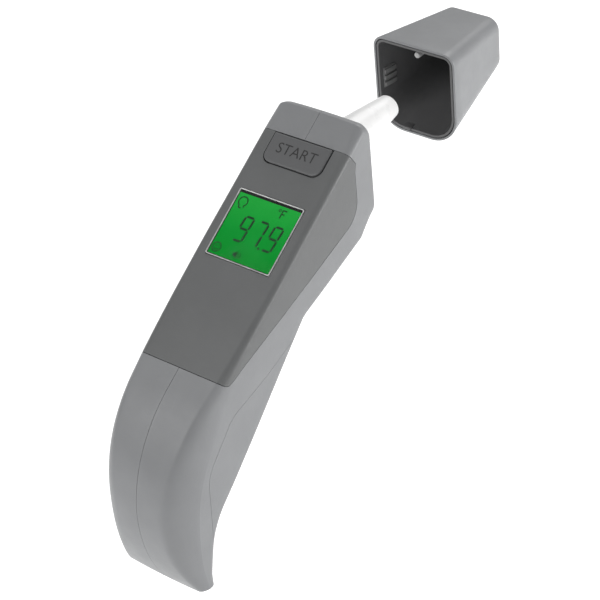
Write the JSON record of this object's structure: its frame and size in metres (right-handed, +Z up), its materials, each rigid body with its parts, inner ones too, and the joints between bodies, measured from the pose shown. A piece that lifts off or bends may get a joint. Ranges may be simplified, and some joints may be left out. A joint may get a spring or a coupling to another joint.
{
  "type": "digital ear thermometer",
  "caption": "Handheld ear thermometer with a curved grip, a sloping face holding a start button and a lit display, and a tapered probe with its cap drawn off in front.",
  "frame": {"origin": "centre of the bounding box's footprint, on the plane of the lowest point of the grip", "axes": "+X to the user's right, +Y along the probe and away from the user, +Z up"},
  "size_m": [0.0356, 0.1924, 0.1209],
  "materials": {
    "case_grey": "fine satin grain",
    "cover_grey": "satin",
    "button_grey": "satin",
    "liner_black": "matte",
    "probe_white": "smooth",
    "clear_lens": "clear, polished",
    "display_green": "backlit green",
    "board_green": "solder mask",
    "black_plastic": "matte",
    "steel": "plain",
    "brass": "plain",
    "cell_wrap": "wrapped label",
    "white_plastic": "plain"
  },
  "bodies": {
    "thermometer": {"left_case": "case_grey", "right_case": "case_grey", "front_cover": "cover_grey", "display_window": "clear_lens", "probe_collar": "case_grey", "probe_cone": "probe_white", "battery_tray": "black_plastic", "buzzer": "black_plastic", "case_screw_1": "steel", "case_screw_2": "steel", "case_screw_3": "steel", "cell_left": "cell_wrap", "cell_right": "cell_wrap", "contact_bridge": "steel", "contact_plate_left": "steel", "contact_plate_right": "steel", "contact_spring_left": "steel", "contact_spring_right": "steel", "display_connector": "black_plastic", "display_glass": "display_green", "display_holder": "black_plastic", "display_light": "white_plastic", "main_board": "board_green", "mode_switch": "black_plastic", "processor": "black_plastic", "sensor_board": "board_green", "sensor_can": "steel", "sensor_holder": "brass", "start_switch": "black_plastic", "waveguide": "brass", "probe_filter": "clear_lens"},
    "cap": {"cap_shell": "case_grey", "cap_liner": "liner_black", "cap_mode_pin": "white_plastic"},
    "button": {"start_button": "button_grey"},
    "switch_stem": {"switch_plunger": "white_plastic"},
    "mode_stem": {"mode_plunger": "white_plastic"},
    "door": {"battery_door": "case_grey"}
  },
  "joints": [
    {"name": "cap_slide", "type": "slide", "parent": "thermometer", "child": "cap", "axis": [0, 1, 0], "range_m": [-0.0482, 0.02]},
    {"name": "button_press", "type": "slide", "parent": "thermometer", "child": "button", "axis": [0, 0.5402, -0.8415], "range_m": [0, 0.00025], "stiffness_N_per_m": 400},
    {"name": "switch_press", "type": "slide", "parent": "thermometer", "child": "switch_stem", "axis": [0, 0.5402, -0.8415], "range_m": [0, 0.00025]},
    {"name": "mode_press", "type": "slide", "parent": "thermometer", "child": "mode_stem", "axis": [0, -1, 0], "range_m": [0, 0.0004], "stiffness_N_per_m": 300},
    {"name": "door_lift", "type": "slide", "parent": "thermometer", "child": "door", "axis": [0, 0.7009, -0.7133], "range_m": [0, 0.03]}
  ],
  "couplings": [
    {"joint": "switch_press", "follows": "button_press", "ratio": 1}
  ]
}
